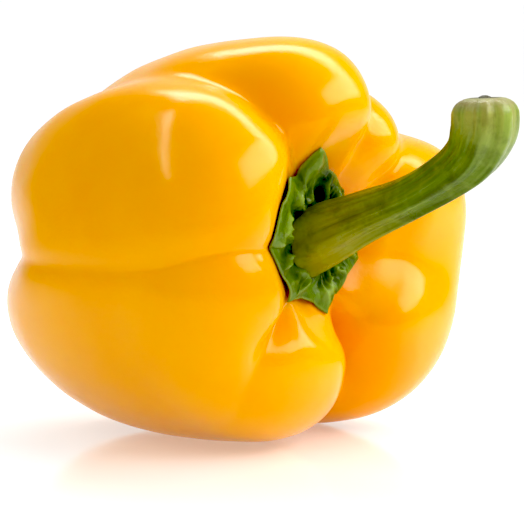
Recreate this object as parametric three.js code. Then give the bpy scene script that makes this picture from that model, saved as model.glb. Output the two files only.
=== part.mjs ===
import * as THREE from "three";

// A yellow bell pepper lying on its side: the fruit, grown as one piece, and the green stem with the calyx at
// its foot. Millimetres, +Z up. The pepper's own axis runs along X, from the blossom end (-X) to the stem end
// (+X). A turn round that axis counts in degrees from 0 at the top, through 90 at the front (-Y), to 180
// underneath. A meridian runs in degrees from 0 at the blossom pole, through 90 at the widest ring, to 180 in
// the stem cavity.

// How the pepper lies
const AXIS_TILT = 3;
const FLAT_DEPTH = 0.5;

// Lobes of the fruit: turn of the crest, share of the turn, widest radius, height of the shoulder above the
// widest ring, length of the blossom half, taper toward the blossom end, and squareness of the blossom half
const LOBES = [
  { at: 0, share: 24, reach: 41.3, shoulder: 33, tip: 58.5, taper: 0.09, square: 2.35 },
  { at: 62, share: 22, reach: 42.5, shoulder: 30.5, tip: 59, taper: 0.02, square: 2.4 },
  { at: 113, share: 17, reach: 44, shoulder: 31, tip: 59, taper: 0, square: 2.9 },
  { at: 157, share: 27, reach: 43.8, shoulder: 29.5, tip: 58.5, taper: 0, square: 2.9 },
  { at: 234, share: 24, reach: 52.6, shoulder: 33, tip: 54, taper: -0.04, square: 2.8 },
  { at: 273, share: 20, reach: 51, shoulder: 32, tip: 54, taper: 0, square: 2.4 },
  { at: 316, share: 18, reach: 40, shoulder: 30, tip: 54, taper: 0, square: 2.4 },
];
// Grooves between the lobes: turn at the widest ring, how far it leans by the shoulder, width in degrees,
// depth at the widest ring, the shoulder, the tip and the mouth of the cavity, and how round its bottom is
const GROOVES = [
  { at: 29, lean: 1, width: 10, middle: 1.8, shoulder: 7.5, tip: 1.5, mouth: 0, round: 0.4 },
  { at: 95, lean: -4, width: 6, middle: 1.2, shoulder: 0.6, tip: 1.2, mouth: 0.5, round: 0.3 },
  { at: 98, lean: 0, width: 18, middle: 0.8, shoulder: 0.5, tip: 6.3, mouth: 0, round: 0.4 },
  { at: 150, lean: -18, width: 7, middle: 0, shoulder: 1, tip: 0.5, mouth: 5, round: 0.3 },
  { at: 200, lean: 0, width: 12, middle: 6, shoulder: 10, tip: 3, mouth: 0, round: 0.15 },
  { at: 254, lean: 0, width: 15, middle: 0.3, shoulder: 2.2, tip: 3, mouth: 3.8, round: 0.9 },
  { at: 303, lean: 0, width: 9, middle: 1.5, shoulder: 3, tip: 0.5, mouth: 0, round: 0.5 },
  { at: 333, lean: 0, width: 10, middle: 1.5, shoulder: 5, tip: 2, mouth: 0, round: 0.4 },
];
const SHOULDER_SQUARENESS = 3.2;
const SHOULDER_MERIDIAN = 125;
const TIP_MERIDIAN = 25;
const GROOVE_SPREAD = 26;
const MOUTH_MERIDIAN = 138;
const MOUTH_SPREAD = 13;
const GROOVE_BEGINS = [5, 40];
const GROOVE_ENDS = [150, 175];
const LEAN_MERIDIANS = [100, 130];
const TAPER_LENGTH = 40;
// The hollows at the two poles: where their middle lies along the axis, their radius, and where grooves begin
const CAVITY = { floor: 16, radius: 20, drop: 0.8, smooth: 10 };
const DIMPLE = { floor: 52, radius: 13, smooth: 4 };
const GROOVE_START = 12;

// Calyx: its rim radius, the teeth of its edge (turn, reach, half width in degrees), and its sheet
const CALYX = { radius: 13.6, forward: 3.2, gap: 0.65, sheet: 0.9, lift: 1, inner: 6.4, innerForward: 2.4 };
const TEETH = [
  { at: 17, reach: 3.2, width: 16 },
  { at: 46, reach: 2.6, width: 14 },
  { at: 88, reach: 3.4, width: 40 },
  { at: 130, reach: 2.2, width: 14 },
  { at: 180, reach: 2.8, width: 15 },
  { at: 247, reach: 1.9, width: 24 },
  { at: 320, reach: 1.8, width: 22 },
];
const CALYX_WAVES = { count: 5, height: 0.3, turn: 40 };
const CALYX_RIBS = { height: 0.7, width: 7 };
const CALYX_FOLDS = { count: 10, height: 1.4, unevenness: 9, turn: 50 };
const MERIDIAN_PER_MM = 1.72;

// Stem: its middle line along X, Y and Z from the foot to the cut end, and its radius there
const STEM = [
  { x: 18.6, y: -2.6, z: -0.8, radius: 7 },
  { x: 22, y: -1.7, z: 0.8, radius: 6.4 },
  { x: 30, y: 0.2, z: 4.1, radius: 5.1 },
  { x: 41, y: 1.5, z: 8, radius: 4.3 },
  { x: 50, y: 2.5, z: 12.4, radius: 4.7 },
  { x: 56.2, y: 3, z: 16.6, radius: 5.5 },
  { x: 59.2, y: 3, z: 21, radius: 6.4 },
  { x: 59.8, y: 3, z: 24.5, radius: 6.6 },
];
const STEM_FOOT = 0.3;
const STEM_RIDGES = { count: 6, depth: 0.05, turn: 20 };
// Cut end of the stem, from its rounded rim to the scar in the middle: share of the radius, and height past
// the end of the middle line
const CUT_END = [
  { share: 0.98, ahead: 0.9 },
  { share: 0.93, ahead: 1.7 },
  { share: 0.81, ahead: 2.6 },
  { share: 0.62, ahead: 3.25 },
  { share: 0.5, ahead: 3.4 },
  { share: 0.34, ahead: 2.8 },
  { share: 0.15, ahead: 3 },
];
const SCAR_HEIGHT = 3.6;

// Fineness of the faceted surfaces
const COLUMNS = 72;
const FRUIT_ROWS = 44;
const CALYX_ROWS = 6;
const STEM_ROWS = 12;

const radians = THREE.MathUtils.degToRad;

function wrap(degrees) {
  return THREE.MathUtils.euclideanModulo(degrees + 180, 360) - 180;
}

function bell(distance, width) {
  return Math.exp(-((distance / width) ** 2));
}

// The value of one field of the lobes at a turn, blended between neighbouring lobes
function blend(turn, field) {
  let total = 0;
  let weights = 0;
  for (const lobe of LOBES) {
    const weight = bell(wrap(turn - lobe.at), lobe.share);
    total += weight * lobe[field];
    weights += weight;
  }
  return total / weights;
}

function grooveDepth(turn, meridian, radius) {
  const begun = THREE.MathUtils.smoothstep(meridian, ...GROOVE_BEGINS);
  const middle = begun * (1 - THREE.MathUtils.smoothstep(meridian, ...GROOVE_ENDS));
  const shoulder = bell(meridian - SHOULDER_MERIDIAN, GROOVE_SPREAD);
  const tip = bell(meridian - TIP_MERIDIAN, GROOVE_SPREAD);
  const mouth = bell(meridian - MOUTH_MERIDIAN, MOUTH_SPREAD);
  let depth = 0;
  for (const groove of GROOVES) {
    const lean = groove.lean * THREE.MathUtils.smoothstep(meridian, ...LEAN_MERIDIANS);
    const across = wrap(turn - groove.at - lean) / groove.width;
    const cusp = Math.exp(groove.round - Math.hypot(across, groove.round));
    const sides = groove.middle * middle + groove.shoulder * shoulder;
    const ends = groove.tip * tip + groove.mouth * mouth;
    depth += cusp * (sides + ends);
  }
  const clear = meridian > 90 ? CAVITY.smooth : DIMPLE.smooth;
  return depth * THREE.MathUtils.smoothstep(radius, clear, clear + GROOVE_START);
}

// A point of the fruit's skin in the pepper's own frame, before it is tilted
function skin(turn, meridian) {
  const reach = blend(turn, "reach");
  const toward = Math.cos(radians(meridian));
  const away = Math.sin(radians(meridian));
  const stemSide = toward < 0;
  const height = blend(turn, stemSide ? "shoulder" : "tip");
  const power = stemSide ? SHOULDER_SQUARENESS : blend(turn, "square");
  const size = ((Math.abs(toward) / height) ** power + (away / reach) ** power) ** (-1 / power);
  let along = -size * toward;
  let radius = size * away;
  const slopeAlong = (Math.sign(along) * (Math.abs(along) / height) ** (power - 1)) / height;
  const slopeRadius = (radius / reach) ** (power - 1) / reach;
  const slope = Math.hypot(slopeAlong, slopeRadius);
  const depth = grooveDepth(turn, meridian, radius);
  radius *= 1 + (blend(turn, "taper") * along) / TAPER_LENGTH;
  along -= (slopeAlong / slope) * depth;
  radius = Math.max(radius - (slopeRadius / slope) * depth, 0);
  let drop = 0;
  if (stemSide) {
    along -= (height - CAVITY.floor) * Math.exp(-((radius / CAVITY.radius) ** 4));
    drop = CAVITY.drop * bell(radius, CAVITY.radius);
  } else {
    along += (height - DIMPLE.floor) * bell(radius, DIMPLE.radius);
  }
  return new THREE.Vector3(along, -radius * Math.sin(radians(turn)), radius * Math.cos(radians(turn)) - drop);
}

// A point raised from the floor of the stem cavity, at a radius from the axis
function aboveCavity(turn, radius, height) {
  const meridian = 180 - MERIDIAN_PER_MM * radius;
  const edge = Math.min(meridian, 179);
  const round = skin(turn + 0.5, edge).sub(skin(turn - 0.5, edge));
  const along = skin(turn, edge + 0.5).sub(skin(turn, edge - 0.5));
  const normal = round.cross(along).normalize();
  return skin(turn, meridian).addScaledVector(normal, height);
}

function calyxRadius(turn) {
  let radius = CALYX.radius + CALYX.forward * Math.sin(radians(turn));
  for (const tooth of TEETH) {
    radius += tooth.reach * Math.max(0, 1 - Math.abs(wrap(turn - tooth.at)) / tooth.width);
  }
  return radius;
}

// One on the rib of a tooth, and near nothing between the teeth
function rib(turn) {
  return TEETH.reduce((sum, tooth) => sum + bell(wrap(turn - tooth.at), CALYX_RIBS.width), 0);
}

// The calyx stands off the fruit, and its edge curls up between the ribs
function calyxLift(turn, share) {
  const ripple = CALYX_WAVES.height * Math.cos(radians(CALYX_WAVES.count * turn + CALYX_WAVES.turn));
  const wave = Math.max(0, 0.5 - 0.5 * rib(turn) + ripple);
  return CALYX.gap + CALYX.lift * wave * THREE.MathUtils.smoothstep(share, 0.5, 1);
}

// Sharp crests that run out from the foot of the stem over the calyx, unevenly spaced
function folds(turn) {
  const uneven = turn + CALYX_FOLDS.unevenness * Math.sin(radians(3 * turn + CALYX_FOLDS.turn));
  return (1 - Math.abs(Math.sin(radians((CALYX_FOLDS.count * uneven) / 2)))) ** 2;
}

// The sheet of the calyx is thickest at the foot of the stem, and its folds are highest half way to the rim
function calyxThickness(turn, share) {
  const relief = CALYX_FOLDS.height * folds(turn) + CALYX_RIBS.height * rib(turn);
  return CALYX.sheet + relief * Math.sin(Math.PI * share) + 0.5 * (1 - share);
}

function calyxRings() {
  const rings = [];
  for (let row = 1; row <= CALYX_ROWS; row += 1) {
    const share = row / CALYX_ROWS;
    rings.push((turn) => aboveCavity(turn, calyxRadius(turn) * share, calyxLift(turn, share)));
  }
  for (let row = CALYX_ROWS; row >= 0; row -= 1) {
    const share = row / CALYX_ROWS;
    rings.push((turn) => {
      const rim = calyxRadius(turn);
      const inner = CALYX.inner + CALYX.innerForward * Math.sin(radians(turn));
      const radius = inner + (rim - inner) * share;
      return aboveCavity(turn, radius, calyxLift(turn, radius / rim) + calyxThickness(turn, share));
    });
  }
  return rings;
}

const stemLine = new THREE.CatmullRomCurve3(STEM.map((at) => new THREE.Vector3(at.x, at.y, at.z)));

function stemRadius(share) {
  const place = Math.min(share * (STEM.length - 1), STEM.length - 1.001);
  const index = Math.floor(place);
  return THREE.MathUtils.lerp(STEM[index].radius, STEM[index + 1].radius, place - index);
}

// A ring of the ridged stem, square to its middle line, and square to the pepper's axis at the foot
function stemRing(share, scale, ahead) {
  const middle = stemLine.getPoint(share);
  const axis = new THREE.Vector3(1, 0, 0);
  const turned = THREE.MathUtils.smoothstep(share, 0, STEM_FOOT);
  const heading = axis.clone().lerp(stemLine.getTangent(share), turned).normalize();
  const toHeading = new THREE.Quaternion().setFromUnitVectors(axis, heading);
  return (turn) => {
    const ridge = STEM_RIDGES.depth * Math.cos(radians(STEM_RIDGES.count * turn + STEM_RIDGES.turn));
    const radius = stemRadius(share) * scale * (1 + scale * ridge);
    const out = new THREE.Vector3(0, -Math.sin(radians(turn)), Math.cos(radians(turn)));
    out.applyQuaternion(toHeading).multiplyScalar(radius);
    return out.add(middle).addScaledVector(heading, ahead);
  };
}

function stemRings() {
  const rings = [];
  for (let row = 0; row <= STEM_ROWS; row += 1) {
    rings.push(stemRing(row / STEM_ROWS, 1, 0));
  }
  for (const step of CUT_END) {
    rings.push(stemRing(1, step.share, step.ahead));
  }
  return rings;
}

// A closed surface through rings of points, with a single point before the first ring and after the last
function closedSurface(first, rings, last, place) {
  const points = [first];
  for (const ring of rings) {
    for (let column = 0; column < COLUMNS; column += 1) {
      points.push(ring((360 * column) / COLUMNS));
    }
  }
  points.push(last);
  const faces = [];
  for (let column = 0; column < COLUMNS; column += 1) {
    const next = (column + 1) % COLUMNS;
    faces.push(0, 1 + next, 1 + column);
    for (let row = 1; row < rings.length; row += 1) {
      const here = 1 + (row - 1) * COLUMNS;
      const there = here + COLUMNS;
      faces.push(here + column, here + next, there + next, here + column, there + next, there + column);
    }
    const end = 1 + (rings.length - 1) * COLUMNS;
    faces.push(points.length - 1, end + column, end + next);
  }
  const geometry = new THREE.BufferGeometry();
  const coordinates = points.flatMap((at) => place(at).toArray());
  geometry.setAttribute("position", new THREE.Float32BufferAttribute(coordinates, 3));
  geometry.setIndex(faces);
  geometry.computeVertexNormals();
  return geometry;
}

function fruitRings() {
  const rings = [];
  for (let row = 1; row < FRUIT_ROWS; row += 1) {
    rings.push((turn) => skin(turn, (180 * row) / FRUIT_ROWS));
  }
  return rings;
}

function tilted(point) {
  return point.applyAxisAngle(new THREE.Vector3(0, 1, 0), -radians(AXIS_TILT));
}

function lowestOfSkin() {
  let lowest = Infinity;
  for (let turn = 0; turn < 360; turn += 1) {
    for (let meridian = 45; meridian <= 135; meridian += 1) {
      lowest = Math.min(lowest, tilted(skin(turn, meridian)).z);
    }
  }
  return lowest;
}

// The skin is flattened a little where it presses on the surface at Z = 0
const restingHeight = lowestOfSkin() + FLAT_DEPTH;

function laid(point) {
  const at = tilted(point);
  at.z = Math.max(at.z - restingHeight, 0);
  return at;
}

function makeFruit() {
  const geometry = closedSurface(skin(0, 0), fruitRings(), skin(0, 180), laid);
  const material = new THREE.MeshStandardMaterial({ color: 0xf5a800, roughness: 0.22, metalness: 0 });
  const mesh = new THREE.Mesh(geometry, material);
  mesh.name = "fruit";
  return mesh;
}

function makeStemCalyx() {
  const rings = [...calyxRings(), ...stemRings()];
  const first = aboveCavity(0, 0, CALYX.gap);
  const last = stemRing(1, 0, SCAR_HEIGHT)(0);
  const geometry = closedSurface(first, rings, last, laid);
  const material = new THREE.MeshStandardMaterial({ color: 0x5f8a1f, roughness: 0.5, metalness: 0 });
  const mesh = new THREE.Mesh(geometry, material);
  mesh.name = "stem_calyx";
  return mesh;
}

// The origin is the middle of the underside of the whole pepper's box
const pepper = new THREE.Group();
pepper.add(makeFruit(), makeStemCalyx());
const box = new THREE.Box3().setFromObject(pepper);
const middle = box.getCenter(new THREE.Vector3());
pepper.position.set(-middle.x, -middle.y, -box.min.z);
pepper.updateMatrixWorld(true);

export default pepper;
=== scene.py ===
import math

import bpy
import numpy as np
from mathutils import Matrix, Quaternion, Vector, noise


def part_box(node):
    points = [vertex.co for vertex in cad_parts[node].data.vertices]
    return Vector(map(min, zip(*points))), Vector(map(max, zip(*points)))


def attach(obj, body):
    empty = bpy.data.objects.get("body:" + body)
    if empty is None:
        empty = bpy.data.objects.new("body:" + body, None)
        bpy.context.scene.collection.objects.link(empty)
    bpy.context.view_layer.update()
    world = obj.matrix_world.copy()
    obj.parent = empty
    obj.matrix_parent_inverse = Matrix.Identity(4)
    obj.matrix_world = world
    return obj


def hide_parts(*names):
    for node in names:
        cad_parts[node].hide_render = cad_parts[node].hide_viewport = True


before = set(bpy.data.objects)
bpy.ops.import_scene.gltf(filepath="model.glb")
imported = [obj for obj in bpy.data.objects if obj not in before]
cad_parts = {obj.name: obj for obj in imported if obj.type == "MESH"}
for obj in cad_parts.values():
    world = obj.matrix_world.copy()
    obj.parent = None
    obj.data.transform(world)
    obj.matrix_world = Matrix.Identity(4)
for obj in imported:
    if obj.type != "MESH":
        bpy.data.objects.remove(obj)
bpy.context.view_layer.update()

# A yellow bell pepper on its side, on a plain pale floor. Its shapes are formulas in millimetres, in the
# pepper's own frame, whose axis runs along X from the blossom end (-X) to the stem end (+X).
# A turn round that axis is in degrees, from 0 at the top through 90 at the front (-Y) to 180 underneath.
# A meridian is in degrees, from 0 at the blossom pole through 90 at the widest ring to 180 in the stem cavity.

# How the pepper lies
AXIS_TILT = 3
FLAT_DEPTH = 0.5
MM = 0.001

# Lobes: turn of the crest, spread to both sides of it, widest radius, length of the stem half and of the
# blossom half, taper toward the blossom end, and squareness of the blossom half
LOBES = [
    dict(at=0, share=24, reach=41.3, shoulder=33, tip=58.5, taper=0.09, square=2.35),
    dict(at=62, share=22, reach=42.5, shoulder=30.5, tip=59, taper=0.02, square=2.4),
    dict(at=113, share=17, reach=44, shoulder=31, tip=59, taper=0, square=2.9),
    dict(at=157, share=27, reach=43.8, shoulder=29.5, tip=58.5, taper=0, square=2.9),
    dict(at=234, share=24, reach=52.6, shoulder=33, tip=54, taper=-0.04, square=2.8),
    dict(at=273, share=20, reach=51, shoulder=32, tip=54, taper=0, square=2.4),
    dict(at=316, share=18, reach=40, shoulder=30, tip=54, taper=0, square=2.4),
]
# Grooves: turn at the widest ring, lean by the shoulder, width in degrees, depth along the side, at the
# shoulder, at the tip and at the mouth of the cavity, and how round the bottom is
GROOVES = [
    dict(at=29, lean=1, width=10, middle=1.8, shoulder=7.5, tip=1.5, mouth=0, round=0.4),
    dict(at=95, lean=-4, width=6, middle=1.2, shoulder=0.6, tip=1.2, mouth=0.5, round=0.3),
    dict(at=98, lean=0, width=18, middle=0.8, shoulder=0.5, tip=6.3, mouth=0, round=0.4),
    dict(at=150, lean=-18, width=7, middle=0, shoulder=1, tip=0.5, mouth=5, round=0.3),
    dict(at=200, lean=0, width=12, middle=6, shoulder=10, tip=3, mouth=0, round=0.15),
    dict(at=254, lean=0, width=15, middle=0.3, shoulder=2.2, tip=3, mouth=3.8, round=0.9),
    dict(at=303, lean=0, width=9, middle=1.5, shoulder=3, tip=0.5, mouth=0, round=0.5),
    dict(at=333, lean=0, width=10, middle=1.5, shoulder=5, tip=2, mouth=0, round=0.4),
]
# Squareness of the stem half, and the length over which a lobe's radius changes by its taper
SHOULDER_SQUARENESS = 3.2
TAPER_LENGTH = 40
# Meridians of the grooves' depths, how far each depth spreads, and where grooves begin, end and lean
SHOULDER_MERIDIAN = 125
TIP_MERIDIAN = 25
GROOVE_SPREAD = 26
MOUTH_MERIDIAN = 138
MOUTH_SPREAD = 13
GROOVE_BEGINS = (5, 40)
GROOVE_ENDS = (150, 175)
LEAN_MERIDIANS = (100, 130)
# The hollows at the two poles: where their floor lies along the axis, their radius, how far the middle of
# the cavity drops, and the radius within which there are no grooves
CAVITY = dict(floor=16, radius=20, drop=0.8, smooth=10)
DIMPLE = dict(floor=52, radius=13, smooth=4)
GROOVE_START = 12
# The slight unevenness of the skin, raised away from the middle of the fruit
SKIN_WAVES = [
    dict(height=0.3, length=17, start=(0, 0, 0)),
    dict(height=0.1, length=7, start=(9, 4, 2)),
]
SKIN_MIDDLE = (-8, 0, 0)
# Where the skin's colour changes: depth of a groove and radius of the cavity, for the painted shade that
# deepens the orange in the grooves and round the stem cavity, and radius of the blossom scar
CREASE_SHADE_DEPTH, CAVITY_SHADE_RADIUS, BLOSSOM_RADIUS = 6, 19, 3.2

# Calyx: radius of its rim, how much longer it is in front, its distance from the skin, thickness of its
# sheet, height of its curled edge, radius of its inner ring, how much wider that is in front, and how much
# thicker the sheet is there
CALYX = dict(
    radius=13.6, forward=3.2, gap=0.25, sheet=0.9, lift=1.2, inner=6.4, inner_forward=2.4, foot=0.5
)
# Teeth of its edge: turn, reach and half width in degrees
TEETH = [
    dict(at=17, reach=3.2, width=16),
    dict(at=46, reach=2.6, width=14),
    dict(at=66, reach=3.2, width=26),
    dict(at=92, reach=3.8, width=32),
    dict(at=130, reach=2.2, width=14),
    dict(at=180, reach=2.8, width=15),
    dict(at=247, reach=1.9, width=24),
    dict(at=320, reach=1.8, width=22),
]
RIB_WIDTH = 7
# The edge curls up in waves between the ribs, but lies close to the skin round the front
CURL_START = 0.5
CURL_WAVES = [dict(height=0.3, count=5, turn=40), dict(height=0.2, count=11, turn=80)]
CLOSE_FRONT = dict(at=80, width=35, share=0.8)
# The sheet thins toward its edge: by a share of its thickness, from a share of its radius
EDGE_THINNING, THIN_FROM = 0.55, 0.8
# Folds and ribs of the calyx, highest half way out, with pockets between the folds near the stem
BROAD_FOLDS = dict(count=10, height=1.7, turn=0)
FINE_FOLDS = dict(count=27, height=0.6, turn=20)
FOLD_SHIFTS = [dict(by=9, count=3, turn=50), dict(by=5, count=7, turn=0)]
FOLD_WINDING = dict(by=5, along=400, count=3)
FOLD_FULLNESS = 0.8
RIB_HEIGHT = 0.6
POCKET = dict(depth=0.35, at=0.3, width=0.2)
# How far the meridian runs for each millimetre out from the axis, on the floor of the cavity
MERIDIAN_PER_MM = 1.72

# Stem: its middle line along X, Y and Z from the foot to the cut end, and its radius there
STEM = [
    (18.6, -2.6, -0.8, 7),
    (22, -1.7, 0.8, 6.4),
    (30, 0.2, 4.1, 5.1),
    (41, 1.5, 8, 4.3),
    (50, 2.5, 12.4, 4.7),
    (56.2, 3, 16.6, 5.5),
    (59.2, 3, 21, 6.4),
    (59.8, 3, 24.5, 6.6),
]
# The share of the stem over which its rings turn to face along its middle line, and its length
STEM_FOOT = 0.3
STEM_LENGTH = 52
STEM_RIDGES = dict(count=6, depth=0.05, turn=20)
# Uneven ribs of the stem: height, fineness round it, change along it, and where its noise starts
STEM_RIBS = [
    dict(height=0.6, around=2.4, along=1.5, start=(0, 0, 0)),
    dict(height=0.15, around=7, along=3, start=(5, 3, 0)),
]
STEM_RIBS_BEGIN = (0.05, 0.35)
# Cut end of the stem, from its rounded rim to the scar in the middle: share of the radius, and height past
# the end of the middle line
CUT_END = [
    (0.996, 0.45), (0.98, 0.9), (0.93, 1.7), (0.85, 2.4), (0.74, 2.9), (0.62, 3.25),
    (0.5, 3.4), (0.42, 3.2), (0.34, 2.8), (0.26, 3.1), (0.17, 3.6), (0.08, 3.85),
]
SCAR_HEIGHT = 3.9
# How fast the colour coordinate along the stem runs on over the cut end, for each millimetre
CUT_ALONG = 0.02

# Fineness
FRUIT_COLUMNS, FRUIT_ROWS = 360, 230
GREEN_COLUMNS, CALYX_ROWS, STEM_ROWS = 360, 20, 120

# Colours of the skin: two golds of its tone, two oranges that are painted shade in its grooves and its stem
# cavity, and the brown of its blossom scar
GOLD = (0.85, 0.37, 0.0)
SUN = (0.88, 0.405, 0.0)
CREASE_SHADE_COLOUR = (0.84, 0.28, 0.0)
CAVITY_SHADE_COLOUR = (0.72, 0.17, 0.0)
SCAR_BROWN = (0.16, 0.09, 0.02)
# Colours of the calyx, the stem and its cut end; the calyx's pale green is both its paler edge and a painted
# highlight on the crests of its folds
DARK_GREEN = (0.035, 0.065, 0.004)
LEAF_GREEN = (0.13, 0.22, 0.014)
PALE_EDGE_AND_CREST_HIGHLIGHT = (0.33, 0.45, 0.09)
OLIVE = (0.25, 0.24, 0.004)
STEM_GREEN = (0.105, 0.175, 0.006)
STEM_DARK = (0.04, 0.06, 0.002)
STEM_PALE = (0.27, 0.34, 0.06)
STEM_FLUSH = (0.45, 0.36, 0.10)
CUT_BEIGE = (0.30, 0.28, 0.11)
RIM_BROWN = (0.24, 0.15, 0.05)
CUT_BROWN = (0.06, 0.055, 0.012)
# Colour along the stem, from its foot to its end
STEM_COLOURS = [(0.0, OLIVE), (0.22, OLIVE), (0.45, STEM_GREEN), (0.75, STEM_GREEN), (1.0, STEM_PALE)]

# Gloss and depth of the materials
SKIN_SHADER = {
    "Specular IOR Level": 0.35,
    "Specular Tint": (1, 0.95, 0.7, 1),
    "Subsurface Weight": 0.5,
    "Subsurface Radius": (1.0, 0.5, 0.05),
    "Subsurface Scale": 0.006,
    "Coat Weight": 0.08,
    "Coat Roughness": 0.1,
}
GREEN_SHADER = {
    "Specular IOR Level": 0.35,
    "Subsurface Weight": 0.12,
    "Subsurface Radius": (0.5, 1.0, 0.2),
    "Subsurface Scale": 0.002,
}
FLOOR_SHADER = {
    "Base Color": (0.78, 0.78, 0.78, 1),
    "Emission Color": (1, 1, 1, 1),
    "Emission Strength": 0.28,
    "Roughness": 0.1,
    "Specular IOR Level": 0.5,
}
# Patterns: scale, detail and roughness of the noise, and its range as a range of shares or of gloss
SKIN_PATCHES = dict(noise=(38, 2), span=(0.35, 0.65))
SKIN_FRECKLES = dict(noise=(900, 1), span=(0.62, 0.75, 0, 0.12))
SKIN_GLOSS = dict(noise=(260, 4, 0.6), span=(0.3, 0.7, 0.19, 0.25))
SCAR_EDGE = dict(noise=(700, 4, 0.6), span=(0.3, 0.7, -0.3, 0.3))
STEM_FLECKS = dict(noise=(420, 3), span=(0.5, 0.7, 0, 0.3))
STEM_MOTTLES = dict(noise=(170, 4, 0.65), span=(0.52, 0.66, 0, 0.4))
STEM_FLUSHES = dict(noise=(1.7, 2), span=(0.5, 0.62, 0, 0.4))
RIM_STAINS = dict(noise=(260, 3), span=(0.5, 0.68, 0, 0.7))
# Noise that has several uses: scale, detail and roughness
GREEN_BLOTCHES = (140, 4, 0.6)
STEM_STREAKS = (4, 5, 0.6)
STREAK_LENGTH = 0.7
# Ranges of a value, and the shares or the gloss that they give
# The next two give painted shade: a deeper orange in the grooves and near the stem cavity
CREASE_SHADE_SPAN = (0.1, 1, 0, 0.35)
CAVITY_SHADE_SPAN = (0.45, 0.95, 0, 0.85)
SCAR_HUE = (0.5, 0.75, 0, 0.95)
LEAF_HUE = (0.35, 0.65)
# This one gives a painted highlight: paler green on the crests of the calyx's folds
CREST_HIGHLIGHT_SPAN = (0.4, 1.9, 0, 0.75)
LEAF_EDGE_HUE = (0.95, 1, 0, 0.35)
GREEN_GLOSS = (0.3, 0.7, 0.24, 0.45)
DARK_STREAKS = (0.5, 0.3, 0, 0.6)
PALE_STREAKS = (0.5, 0.7, 0, 0.45)
STREAKS_BEGIN = (0.05, 0.3)
FLUSHES_BEGIN = (0.82, 1.02)
LEAF_TO_STEM = (-0.5, -0.01)
STEM_TO_LEAF = (-0.01, -0.5)
RIM_BEGINS = (0.99, 0.85, 0, 0.8)
END_SCAR_BEGINS = (0.54, 0.46)
# Relief in the materials: scale, detail and roughness of the noise, and distance in metres and strength
SKIN_SWELLS = dict(noise=(90, 2), relief=(0.0006, 0.18))
SKIN_PORES = dict(noise=(1300, 2), relief=(0.00008, 0.35))
LEAF_WRINKLES = dict(noise=(300, 3, 0.6), relief=(0.0014, 0.6))
GREEN_PORES = dict(noise=(700, 4, 0.6), relief=(0.0003, 0.5))
STREAK_RELIEF = (0.0008, 0.3)

# Camera: it looks along the photo's line of sight, and its scale and framing are those of the photo
PHOTO_SIZE = 524
PIXELS_PER_METRE = 4800
TARGET_PIXEL = (254, 234.5)
TARGET_HEIGHT = 0.043
CAMERA_AZIMUTH, CAMERA_ELEVATION, CAMERA_DISTANCE = 42, 6, 0.7
SENSOR_WIDTH = 36

# Lights: azimuth, elevation and roll in degrees, distance, width and height in metres, power in watts
LIGHTS = dict(
    overhead=(200, 58, 0, 0.8, 1.0, 0.22, 4.6),
    right_side=(122, 35, 0, 0.7, 0.86, 0.36, 5.2),
    left_side=(-45, 46, -30, 0.7, 0.66, 0.07, 1.0),
)

# White tent round the pepper: the gloss shows it bright behind the pepper and dark elsewhere. TENT_EDGE says
# how far a direction agrees with TENT_FRONT where the bright part ends and where the dark begins.
TENT_FRONT = (0.67, -0.74, 0.1)
TENT_BRIGHT, TENT_DARK = 0.8, 0.02
TENT_EDGE = (-0.95, -0.55)
# The tent's light on the pepper and the floor, and its brightness in the picture
TENT_GLOW = 0.68
BACKDROP = 1.0

# Table: how far it comes toward the viewer, and how far it reaches the other ways, in metres
TABLE_FRONT, TABLE_REACH = 0.24, 6.0

# The photo's deep blacks
BLACK_LEVEL = 0.04


def wrap(degrees):
    return (degrees + 180.0) % 360.0 - 180.0


def bell(distance, width):
    return np.exp(-((distance / width) ** 2))


def smoothstep(value, start, end):
    t = np.clip((value - start) / (end - start), 0, 1)
    return t * t * (3 - 2 * t)


def blend(turn, field):
    """One field of the lobes at each turn, blended between neighbouring lobes"""
    weights = [bell(wrap(turn - lobe["at"]), lobe["share"]) for lobe in LOBES]
    return sum(w * lobe[field] for w, lobe in zip(weights, LOBES)) / sum(weights)


def groove_depth(turn, meridian, radius):
    middle = smoothstep(meridian, *GROOVE_BEGINS) * (1 - smoothstep(meridian, *GROOVE_ENDS))
    shoulder = bell(meridian - SHOULDER_MERIDIAN, GROOVE_SPREAD)
    tip = bell(meridian - TIP_MERIDIAN, GROOVE_SPREAD)
    mouth = bell(meridian - MOUTH_MERIDIAN, MOUTH_SPREAD)
    depth = 0
    for groove in GROOVES:
        lean = groove["lean"] * smoothstep(meridian, *LEAN_MERIDIANS)
        across = wrap(turn - groove["at"] - lean) / groove["width"]
        cusp = np.exp(groove["round"] - np.hypot(across, groove["round"]))
        sides = groove["middle"] * middle + groove["shoulder"] * shoulder
        ends = groove["tip"] * tip + groove["mouth"] * mouth
        depth = depth + cusp * (sides + ends)
    clear = np.where(meridian > 90, CAVITY["smooth"], DIMPLE["smooth"])
    return depth * smoothstep(radius, clear, clear + GROOVE_START)


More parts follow.
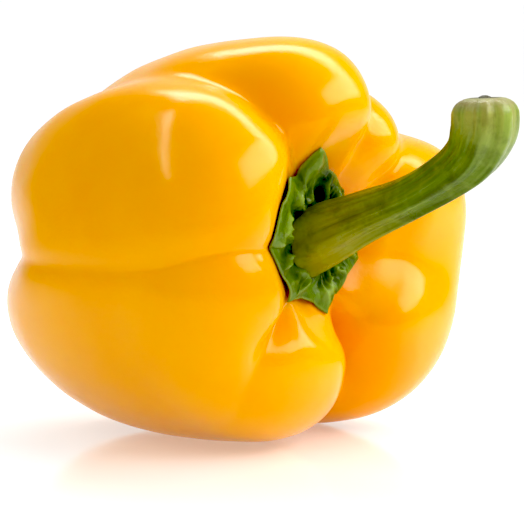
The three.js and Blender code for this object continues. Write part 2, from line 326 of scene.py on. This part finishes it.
def skin(turn, meridian):
    """Points of the fruit's skin in the pepper's own frame, before it is tilted"""
    reach = blend(turn, "reach")
    toward, away = np.cos(np.radians(meridian)), np.sin(np.radians(meridian))
    stem_side = toward < 0
    height = np.where(stem_side, blend(turn, "shoulder"), blend(turn, "tip"))
    power = np.where(stem_side, SHOULDER_SQUARENESS, blend(turn, "square"))
    size = ((np.abs(toward) / height) ** power + (away / reach) ** power) ** (-1 / power)
    along, radius = -size * toward, size * away
    slope_along = np.sign(along) * (np.abs(along) / height) ** (power - 1) / height
    slope_radius = (radius / reach) ** (power - 1) / reach
    slope = np.hypot(slope_along, slope_radius)
    depth = groove_depth(turn, meridian, radius)
    radius = radius * (1 + blend(turn, "taper") * along / TAPER_LENGTH)
    along = along - slope_along / slope * depth
    radius = np.maximum(radius - slope_radius / slope * depth, 0)
    hollow = (height - CAVITY["floor"]) * np.exp(-((radius / CAVITY["radius"]) ** 4))
    dimple = (height - DIMPLE["floor"]) * bell(radius, DIMPLE["radius"])
    along = along + np.where(stem_side, -hollow, dimple)
    drop = np.where(stem_side, CAVITY["drop"] * bell(radius, CAVITY["radius"]), 0)
    angle = np.radians(turn)
    return np.stack([along, -radius * np.sin(angle), radius * np.cos(angle) - drop], -1)


def above_cavity(turn, radius, height):
    """Points raised from the floor of the stem cavity, at a radius from the axis"""
    meridian = 180 - MERIDIAN_PER_MM * radius
    edge = np.minimum(meridian, 179)
    across = skin(turn + 0.5, edge) - skin(turn - 0.5, edge)
    along = skin(turn, edge + 0.5) - skin(turn, edge - 0.5)
    normal = np.cross(across, along)
    normal /= np.linalg.norm(normal, axis=-1, keepdims=True)
    return skin(turn, meridian) + normal * np.asarray(height)[..., None]


def calyx_radius(turn):
    radius = CALYX["radius"] + CALYX["forward"] * np.sin(np.radians(turn))
    for tooth in TEETH:
        beside = np.abs(wrap(turn - tooth["at"])) / tooth["width"]
        radius = radius + tooth["reach"] * np.maximum(0, 1 - beside)
    return radius


def rib(turn):
    """One on the rib of a tooth, and near nothing between the teeth"""
    return sum(bell(wrap(turn - tooth["at"]), RIB_WIDTH) for tooth in TEETH)


def calyx_lift(turn, share):
    """Height of the calyx's underside over the skin, at a share of its radius"""
    ripple = 0
    for wave in CURL_WAVES:
        ripple = ripple + wave["height"] * np.cos(np.radians(wave["count"] * turn + wave["turn"]))
    close = 1 - CLOSE_FRONT["share"] * bell(wrap(turn - CLOSE_FRONT["at"]), CLOSE_FRONT["width"])
    curl = np.maximum(0, 0.5 - 0.5 * rib(turn) + ripple) * close
    return CALYX["gap"] + CALYX["lift"] * curl * smoothstep(share, CURL_START, 1)


def folds(turn, kind, share):
    """Sharp crests that run out from the foot of the stem, unevenly spaced and slightly winding"""
    turn = turn + kind["turn"]
    warped = turn
    for shift in FOLD_SHIFTS:
        warped = warped + shift["by"] * np.sin(np.radians(shift["count"] * turn + shift["turn"]))
    bend = np.sin(np.radians(FOLD_WINDING["along"] * share + FOLD_WINDING["count"] * turn))
    warped = warped + FOLD_WINDING["by"] * bend
    return (1 - np.abs(np.sin(np.radians(kind["count"] * warped / 2)))) ** 2


def crumple(turn, share):
    """Height of the calyx's folds over its sheet"""
    middle = np.sin(np.pi * share) ** FOLD_FULLNESS
    broad = folds(turn, BROAD_FOLDS, share)
    fine = folds(turn, FINE_FOLDS, share)
    raised = BROAD_FOLDS["height"] * broad + FINE_FOLDS["height"] * fine + RIB_HEIGHT * rib(turn)
    pocket = POCKET["depth"] * bell(share - POCKET["at"], POCKET["width"]) * (1 - broad)
    return raised * middle - pocket


def calyx_thickness(turn, share):
    sheet = CALYX["sheet"] * (1 - EDGE_THINNING * smoothstep(share, THIN_FROM, 1))
    return sheet + crumple(turn, share) + CALYX["foot"] * (1 - share)


def calyx_rings(turn):
    """Rings of the calyx, out along its underside and back over its upper side"""
    rim = calyx_radius(turn)
    rings = []
    for row in range(1, CALYX_ROWS + 1):
        share = row / CALYX_ROWS
        rings.append(above_cavity(turn, rim * share, calyx_lift(turn, share)))
    inner = CALYX["inner"] + CALYX["inner_forward"] * np.sin(np.radians(turn))
    for row in range(CALYX_ROWS, -1, -1):
        share = row / CALYX_ROWS
        radius = inner + (rim - inner) * share
        height = calyx_lift(turn, radius / rim) + calyx_thickness(turn, share)
        rings.append(above_cavity(turn, radius, height))
    return rings


def stem_knots():
    """The points of the stem, with one more past each end, so that the curve's last stretch ends unbent"""
    knots = np.array(STEM, float)
    before = 2 * knots[0] - knots[1]
    after = 2.5 * knots[-1] - 2 * knots[-2] + 0.5 * knots[-3]
    return np.vstack([before, knots, after])


STEM_KNOTS = stem_knots()
AXIS = np.array([1.0, 0, 0])


def stem_place(share):
    """The middle and the radius of the stem, on a smooth curve through its points"""
    pieces = len(STEM) - 1
    spot = min(max(share, 0), 1) * pieces
    first = min(int(spot), pieces - 1)
    before, here, there, after = STEM_KNOTS[first:first + 4]
    t = spot - first
    out, into = (there - before) / 2, (after - here) / 2
    return (
        (2 * t ** 3 - 3 * t ** 2 + 1) * here
        + (t ** 3 - 2 * t ** 2 + t) * out
        + (3 * t ** 2 - 2 * t ** 3) * there
        + (t ** 3 - t ** 2) * into
    )


def stem_at(share):
    """The middle, the radius and the heading of the stem, at a share from 0 at its foot to 1 at its cut end"""
    point = stem_place(share)
    step = (stem_place(share + 0.001) - stem_place(share - 0.001))[:3]
    step /= np.linalg.norm(step)
    heading = AXIS + (step - AXIS) * smoothstep(share, 0, STEM_FOOT)
    return point[:3], point[3], heading / np.linalg.norm(heading)


def stem_roughness(angle, share):
    """Height of the stem's lengthwise ribs and furrows at one angle"""
    around = Vector((math.cos(angle), math.sin(angle), 0))
    height = 0
    for kind in STEM_RIBS:
        spot = around * kind["around"] + Vector(kind["start"]) + Vector((0, 0, kind["along"] * share))
        height += kind["height"] * noise.noise(spot)
    return height * smoothstep(share, *STEM_RIBS_BEGIN)


def stem_ring(turn, share, scale=1.0, ahead=0.0):
    """A ring of the stem, square to its middle line, and square to the pepper's axis at the foot"""
    middle, radius, heading = stem_at(share)
    angle = np.radians(turn)
    out = np.stack([0 * angle, -np.sin(angle), np.cos(angle)], -1)
    out = out - (out @ heading)[:, None] / (1 + heading[0]) * (AXIS + heading)
    ridge = STEM_RIDGES["depth"] * np.cos(np.radians(STEM_RIDGES["count"] * turn + STEM_RIDGES["turn"]))
    rough = np.array([stem_roughness(a, share + ahead / STEM_LENGTH) for a in angle.tolist()])
    around = radius * scale * (1 + scale * ridge) + scale * rough
    return middle + heading * ahead + out * around[:, None]


def stem_rings(turn):
    rings = [stem_ring(turn, row / STEM_ROWS) for row in range(STEM_ROWS + 1)]
    rings += [stem_ring(turn, 1, share, ahead) for share, ahead in CUT_END]
    return rings


def tilted(points):
    """Points with the stem end of the axis raised"""
    angle = math.radians(AXIS_TILT)
    across, rise = math.cos(angle), math.sin(angle)
    x, y, z = points[..., 0], points[..., 1], points[..., 2]
    return np.stack([x * across - z * rise, y, x * rise + z * across], -1)


FRUIT_TURNS = np.arange(FRUIT_COLUMNS) * 360 / FRUIT_COLUMNS


def placing():
    """Where the pepper's own frame lies in the CAD frame, from the box of the CAD fruit"""
    rough_skin = tilted(skin(*np.meshgrid(FRUIT_TURNS, np.arange(1, 180))))
    lowest, highest = rough_skin.min(axis=(0, 1)), rough_skin.max(axis=(0, 1))
    box_low, box_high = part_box("fruit")
    middle = (np.array(box_low) + np.array(box_high)) / 2 / MM
    shift = middle - (lowest + highest) / 2
    shift[2] = -lowest[2] - FLAT_DEPTH
    return shift


SHIFT = placing()


def laid(points):
    """Points of the pepper's own frame in the CAD frame, still in millimetres, flattened on the floor"""
    placed = tilted(points) + SHIFT
    placed[..., 2] = np.maximum(placed[..., 2], 0)
    return placed


def closed_mesh(name, first, rings, last):
    """A closed mesh of rings of points, with one point before the first ring and one after the last"""
    columns = len(rings[0])
    points = np.vstack([first[None], *rings, last[None]])
    faces = []
    for column in range(columns):
        after = (column + 1) % columns
        faces.append((0, 1 + after, 1 + column))
    for row in range(len(rings) - 1):
        here = 1 + row * columns
        there = here + columns
        for column in range(columns):
            after = (column + 1) % columns
            faces.append((here + column, here + after, there + after, there + column))
    end = 1 + (len(rings) - 1) * columns
    for column in range(columns):
        after = (column + 1) % columns
        faces.append((len(points) - 1, end + column, end + after))
    mesh = bpy.data.meshes.new(name)
    mesh.from_pydata((points * MM).tolist(), [], faces)
    mesh.shade_smooth()
    piece = bpy.data.objects.new(name, mesh)
    bpy.context.scene.collection.objects.link(piece)
    return piece


def add_attribute(piece, name, values):
    attribute = piece.data.attributes.new(name, "FLOAT", "POINT")
    attribute.data.foreach_set("value", np.asarray(values, np.float32).ravel())


def undulation(points):
    """The slight unevenness of a grown skin, in millimetres"""
    heights = [
        sum(w["height"] * noise.noise(Vector(p) / w["length"] + Vector(w["start"])) for w in SKIN_WAVES)
        for p in points.reshape(-1, 3).tolist()
    ]
    return np.array(heights).reshape(points.shape[:-1])


def make_fruit():
    rows = np.arange(1, FRUIT_ROWS) * 180 / FRUIT_ROWS
    turn, meridian = np.meshgrid(FRUIT_TURNS, rows)
    points = skin(turn, meridian)
    out = points - np.array(SKIN_MIDDLE)
    out /= np.linalg.norm(out, axis=-1, keepdims=True)
    points = points + out * undulation(points)[..., None]
    poles = laid(skin(np.array([0.0, 0.0]), np.array([0.0, 180.0])))
    piece = closed_mesh("pepper_skin", poles[0], [laid(ring) for ring in points], poles[1])
    radius = np.hypot(points[..., 1], points[..., 2])
    # Masks for the painted shade: how deep a groove is, and how near the stem cavity
    crease = np.clip(groove_depth(turn, meridian, radius) / CREASE_SHADE_DEPTH, 0, 1)
    cavity = (meridian > 90) * np.exp(-((radius / CAVITY_SHADE_RADIUS) ** 4))
    blossom = (meridian < 90) * bell(radius, BLOSSOM_RADIUS)
    add_attribute(piece, "crease", [0, *crease.ravel(), 0])
    add_attribute(piece, "cavity", [0, *cavity.ravel(), 1])
    add_attribute(piece, "blossom", [1, *blossom.ravel(), 0])
    return piece


def make_green():
    turn = np.arange(GREEN_COLUMNS) * 360 / GREEN_COLUMNS
    leafy, woody = calyx_rings(turn), stem_rings(turn)
    first = laid(above_cavity(0.0, 0.0, CALYX["gap"]))
    last = laid(stem_ring(np.array([0.0]), 1, 0, SCAR_HEIGHT)[0])
    piece = closed_mesh("stem_and_calyx", first, [laid(ring) for ring in leafy + woody], last)
    stalk = [row / STEM_ROWS for row in range(STEM_ROWS + 1)]
    along = [-1.0] * len(leafy) + stalk + [1 + CUT_ALONG * ahead for _, ahead in CUT_END]
    across = [1.0] * (len(leafy) + len(stalk)) + [share for share, _ in CUT_END]
    add_attribute(piece, "along", [-1, *np.repeat(along, GREEN_COLUMNS), 2])
    add_attribute(piece, "across", [1, *np.repeat(across, GREEN_COLUMNS), 0])
    rows = [*range(1, CALYX_ROWS + 1), *range(CALYX_ROWS, -1, -1)]
    rim = [row / CALYX_ROWS for row in rows] + [0.0] * len(woody)
    add_attribute(piece, "rim", [0, *np.repeat(rim, GREEN_COLUMNS), 0])
    # Heights of the calyx's folds, whose crests get a painted highlight
    crests = [crumple(turn, row / CALYX_ROWS) for row in rows] + [0 * turn] * len(woody)
    add_attribute(piece, "crest", [0, *np.concatenate(crests), 0])
    angle = np.radians(np.tile(turn, len(leafy) + len(woody)))
    add_attribute(piece, "round_x", [0, *np.cos(angle), 0])
    add_attribute(piece, "round_y", [0, *np.sin(angle), 0])
    return piece


RANGE_SOCKETS = ("From Min", "From Max", "To Min", "To Max")


class Nodes:
    """Short calls for building one material's node tree"""

    def __init__(self, name, settings):
        self.material = bpy.data.materials.new(name)
        self.material.use_nodes = True
        self.tree = self.material.node_tree
        self.shader = self.tree.nodes["Principled BSDF"]
        for socket, value in settings.items():
            self.shader.inputs[socket].default_value = value

    def add(self, kind, **settings):
        node = self.tree.nodes.new(kind)
        for key, value in settings.items():
            setattr(node, key, value)
        return node

    def link(self, source, target):
        self.tree.links.new(source, target)

    def attribute(self, name):
        return self.add("ShaderNodeAttribute", attribute_name=name).outputs["Fac"]

    def place(self):
        return self.add("ShaderNodeTexCoord").outputs["Object"]

    def vector(self, x, y, z):
        node = self.add("ShaderNodeCombineXYZ")
        for socket, value in zip(node.inputs, (x, y, z)):
            self.link(value, socket)
        return node.outputs["Vector"]

    def noise(self, vector, scale, detail, roughness=0.5):
        node = self.add("ShaderNodeTexNoise")
        self.link(vector, node.inputs["Vector"])
        node.inputs["Scale"].default_value = scale
        node.inputs["Detail"].default_value = detail
        node.inputs["Roughness"].default_value = roughness
        return node.outputs["Fac"]

    def pattern(self, vector, kind):
        """Noise, with its range turned into another"""
        return self.span(self.noise(vector, *kind["noise"]), *kind["span"])

    def relief(self, vector, kind, below=None):
        """Noise as a relief, on top of another"""
        return self.bump(self.noise(vector, *kind["noise"]), *kind["relief"], below)

    def ramp(self, value, stops):
        node = self.add("ShaderNodeValToRGB")
        elements = node.color_ramp.elements
        while len(elements) < len(stops):
            elements.new(0.5)
        for element, (position, color) in zip(elements, stops):
            element.position = position
            element.color = (*color, 1)
        self.link(value, node.inputs["Fac"])
        return node.outputs["Color"]

    def math(self, operation, first, second):
        node = self.add("ShaderNodeMath", operation=operation)
        for socket, value in zip(node.inputs, (first, second)):
            if isinstance(value, (int, float)):
                socket.default_value = value
            else:
                self.link(value, socket)
        return node.outputs["Value"]

    def span(self, value, low, high, to_low=0.0, to_high=1.0):
        """The value's range from low to high as another range, held at its ends"""
        node = self.add("ShaderNodeMapRange")
        self.link(value, node.inputs["Value"])
        for key, number in zip(RANGE_SOCKETS, (low, high, to_low, to_high)):
            node.inputs[key].default_value = number
        return node.outputs["Result"]

    def mix(self, factor, first, second):
        node = self.add("ShaderNodeMix", data_type="RGBA")
        self.link(factor, node.inputs["Factor"])
        for socket, value in ((node.inputs[6], first), (node.inputs[7], second)):
            if isinstance(value, tuple):
                socket.default_value = (*value, 1)
            else:
                self.link(value, socket)
        return node.outputs[2]

    def bump(self, height, distance, strength, below=None):
        node = self.add("ShaderNodeBump")
        node.inputs["Distance"].default_value = distance
        node.inputs["Strength"].default_value = strength
        self.link(height, node.inputs["Height"])
        if below is not None:
            self.link(below, node.inputs["Normal"])
        return node.outputs["Normal"]


def skin_material():
    n = Nodes("pepper_skin", SKIN_SHADER)
    place = n.place()
    color = n.mix(n.pattern(place, SKIN_PATCHES), GOLD, SUN)
    # Painted shade: a deeper orange in the grooves and near the stem cavity
    color = n.mix(n.span(n.attribute("crease"), *CREASE_SHADE_SPAN), color, CREASE_SHADE_COLOUR)
    color = n.mix(n.span(n.attribute("cavity"), *CAVITY_SHADE_SPAN), color, CAVITY_SHADE_COLOUR)
    color = n.mix(n.pattern(place, SKIN_FRECKLES), color, SUN)
    ragged = n.math("ADD", n.attribute("blossom"), n.pattern(place, SCAR_EDGE))
    color = n.mix(n.span(ragged, *SCAR_HUE), color, SCAR_BROWN)
    n.link(color, n.shader.inputs["Base Color"])
    n.link(n.pattern(place, SKIN_GLOSS), n.shader.inputs["Roughness"])
    swells = n.relief(place, SKIN_SWELLS)
    n.link(n.relief(place, SKIN_PORES, swells), n.shader.inputs["Normal"])
    return n.material


def leaf_color(n, blotches):
    """Mottled green of the calyx, paler at its edge, and paler on the crests of its folds as a painted
    highlight
    """
    color = n.mix(n.span(blotches, *LEAF_HUE), DARK_GREEN, LEAF_GREEN)
    # Painted highlight: paler green on the crests of the folds
    color = n.mix(n.span(n.attribute("crest"), *CREST_HIGHLIGHT_SPAN), color, PALE_EDGE_AND_CREST_HIGHLIGHT)
    return n.mix(n.span(n.attribute("rim"), *LEAF_EDGE_HUE), color, PALE_EDGE_AND_CREST_HIGHLIGHT)


def stalk_color(n, place, along, around, streaks, streaked):
    """Green of the stem with streaks, flecks and mottles, and a beige flush toward its end"""
    dark = n.math("MULTIPLY", n.span(streaks, *DARK_STREAKS), streaked)
    pale = n.math("MULTIPLY", n.span(streaks, *PALE_STREAKS), streaked)
    color = n.mix(dark, n.ramp(along, STEM_COLOURS), STEM_DARK)
    color = n.mix(pale, color, STEM_PALE)
    color = n.mix(n.pattern(place, STEM_FLECKS), color, STEM_PALE)
    color = n.mix(n.pattern(place, STEM_MOTTLES), color, STEM_DARK)
    flush = n.math("MULTIPLY", n.pattern(around, STEM_FLUSHES), n.span(along, *FLUSHES_BEGIN))
    return n.mix(flush, color, STEM_FLUSH)


def cut_color(n, place, stalk):
    """Beige and brown of the cut end's rim, and the dark scar in its middle, over the stem's colour"""
    across = n.attribute("across")
    rim = n.mix(n.pattern(place, RIM_STAINS), CUT_BEIGE, RIM_BROWN)
    color = n.mix(n.span(across, *RIM_BEGINS), stalk, rim)
    return n.mix(n.span(across, *END_SCAR_BEGINS), color, CUT_BROWN)


def green_material():
    n = Nodes("stem_and_calyx", GREEN_SHADER)
    place = n.place()
    along = n.attribute("along")
    lengthwise = n.math("MULTIPLY", along, STREAK_LENGTH)
    around = n.vector(n.attribute("round_x"), n.attribute("round_y"), lengthwise)
    streaks, streaked = n.noise(around, *STEM_STREAKS), n.span(along, *STREAKS_BEGIN)
    blotches = n.noise(place, *GREEN_BLOTCHES)
    stalk = cut_color(n, place, stalk_color(n, place, along, around, streaks, streaked))
    color = n.mix(n.span(along, *LEAF_TO_STEM), leaf_color(n, blotches), stalk)
    n.link(color, n.shader.inputs["Base Color"])
    n.link(n.span(blotches, *GREEN_GLOSS), n.shader.inputs["Roughness"])
    furrows = n.bump(n.math("MULTIPLY", streaks, streaked), *STREAK_RELIEF)
    wrinkled = n.math("MULTIPLY", n.noise(place, *LEAF_WRINKLES["noise"]), n.span(along, *STEM_TO_LEAF))
    wrinkles = n.bump(wrinkled, *LEAF_WRINKLES["relief"], furrows)
    n.link(n.relief(place, GREEN_PORES, wrinkles), n.shader.inputs["Normal"])
    return n.material


def floor_material():
    return Nodes("pale_floor", FLOOR_SHADER).material


def dress(piece, material, node):
    piece.data.materials.append(material)
    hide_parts(node)
    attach(piece, "root")


def direction(azimuth, elevation):
    """Away from the pepper: azimuth 0 is its front (-Y) and 90 its stem end (+X)"""
    turn, rise = math.radians(azimuth), math.radians(elevation)
    return Vector((math.sin(turn) * math.cos(rise), -math.cos(turn) * math.cos(rise), math.sin(rise)))


def aimed(name, data, back, distance, roll=0):
    """An object at a distance from the pepper that faces it"""
    piece = bpy.data.objects.new(name, data)
    bpy.context.scene.collection.objects.link(piece)
    piece.location = TARGET + back * distance
    piece.rotation_mode = "QUATERNION"
    piece.rotation_quaternion = (-back).to_track_quat("-Z", "Y") @ Quaternion((0, 0, 1), math.radians(roll))
    return piece


TARGET = Vector((SHIFT[0] * MM, SHIFT[1] * MM, TARGET_HEIGHT))


def make_camera():
    data = bpy.data.cameras.new("camera")
    data.sensor_width = SENSOR_WIDTH
    data.lens = SENSOR_WIDTH * CAMERA_DISTANCE / (PHOTO_SIZE / PIXELS_PER_METRE)
    data.shift_x = (PHOTO_SIZE / 2 - TARGET_PIXEL[0]) / PHOTO_SIZE
    data.shift_y = (TARGET_PIXEL[1] - PHOTO_SIZE / 2) / PHOTO_SIZE
    back = direction(CAMERA_AZIMUTH, CAMERA_ELEVATION)
    bpy.context.scene.camera = aimed("camera", data, back, CAMERA_DISTANCE)


def make_light(name, azimuth, elevation, roll, distance, width, height, power):
    """A soft rectangular light that faces the pepper"""
    data = bpy.data.lights.new(name, "AREA")
    data.shape = "RECTANGLE"
    data.size, data.size_y, data.energy = width, height, power
    aimed(name, data, direction(azimuth, elevation), distance, roll)


def make_world():
    """A white tent: even light, bright only behind the pepper in its gloss, and white in the picture"""
    world = bpy.data.worlds.new("white_tent")
    bpy.context.scene.world = world
    world.use_nodes = True
    world.cycles.sampling_method = "NONE"
    tree = world.node_tree
    background = tree.nodes["Background"]
    background.inputs["Color"].default_value = (1, 1, 1, 1)
    path = tree.nodes.new("ShaderNodeLightPath")
    facing = tree.nodes.new("ShaderNodeVectorMath")
    facing.operation = "DOT_PRODUCT"
    facing.inputs[1].default_value = TENT_FRONT
    tree.links.new(tree.nodes.new("ShaderNodeTexCoord").outputs["Generated"], facing.inputs[0])
    tent = tree.nodes.new("ShaderNodeMapRange")
    tree.links.new(facing.outputs["Value"], tent.inputs["Value"])
    for key, value in zip(RANGE_SOCKETS, (*TENT_EDGE, TENT_BRIGHT, TENT_DARK)):
        tent.inputs[key].default_value = value
    lit = tree.nodes.new("ShaderNodeMix")
    tree.links.new(path.outputs["Is Glossy Ray"], lit.inputs["Factor"])
    lit.inputs[2].default_value = TENT_GLOW
    tree.links.new(tent.outputs["Result"], lit.inputs[3])
    seen = tree.nodes.new("ShaderNodeMix")
    tree.links.new(path.outputs["Is Camera Ray"], seen.inputs["Factor"])
    tree.links.new(lit.outputs[0], seen.inputs[2])
    seen.inputs[3].default_value = BACKDROP
    tree.links.new(seen.outputs[0], background.inputs["Strength"])


def make_floor():
    """A white table top, whose front edge lies just below the picture"""
    azimuth = math.radians(CAMERA_AZIMUTH)
    right = Vector((math.cos(azimuth), math.sin(azimuth), 0))
    away = Vector((-math.sin(azimuth), math.cos(azimuth), 0))
    corners = [
        right * side * TABLE_REACH + away * depth
        for side, depth in ((-1, -TABLE_FRONT), (1, -TABLE_FRONT), (1, TABLE_REACH), (-1, TABLE_REACH))
    ]
    mesh = bpy.data.meshes.new("floor")
    mesh.from_pydata(corners, [], [(0, 1, 2, 3)])
    mesh.materials.append(floor_material())
    floor = bpy.data.objects.new("floor", mesh)
    bpy.context.scene.collection.objects.link(floor)


def make_tone():
    """The photo's deep blacks, as a curve over the whole picture"""
    tone = bpy.context.scene.view_settings
    tone.view_transform = "Standard"
    tone.use_curve_mapping = True
    tone.curve_mapping.black_level = (BLACK_LEVEL, BLACK_LEVEL, BLACK_LEVEL)
    tone.curve_mapping.update()


make_camera()
dress(make_fruit(), skin_material(), "fruit")
dress(make_green(), green_material(), "stem_calyx")
for name, values in LIGHTS.items():
    make_light(name, *values)
make_world()
make_floor()
make_tone()
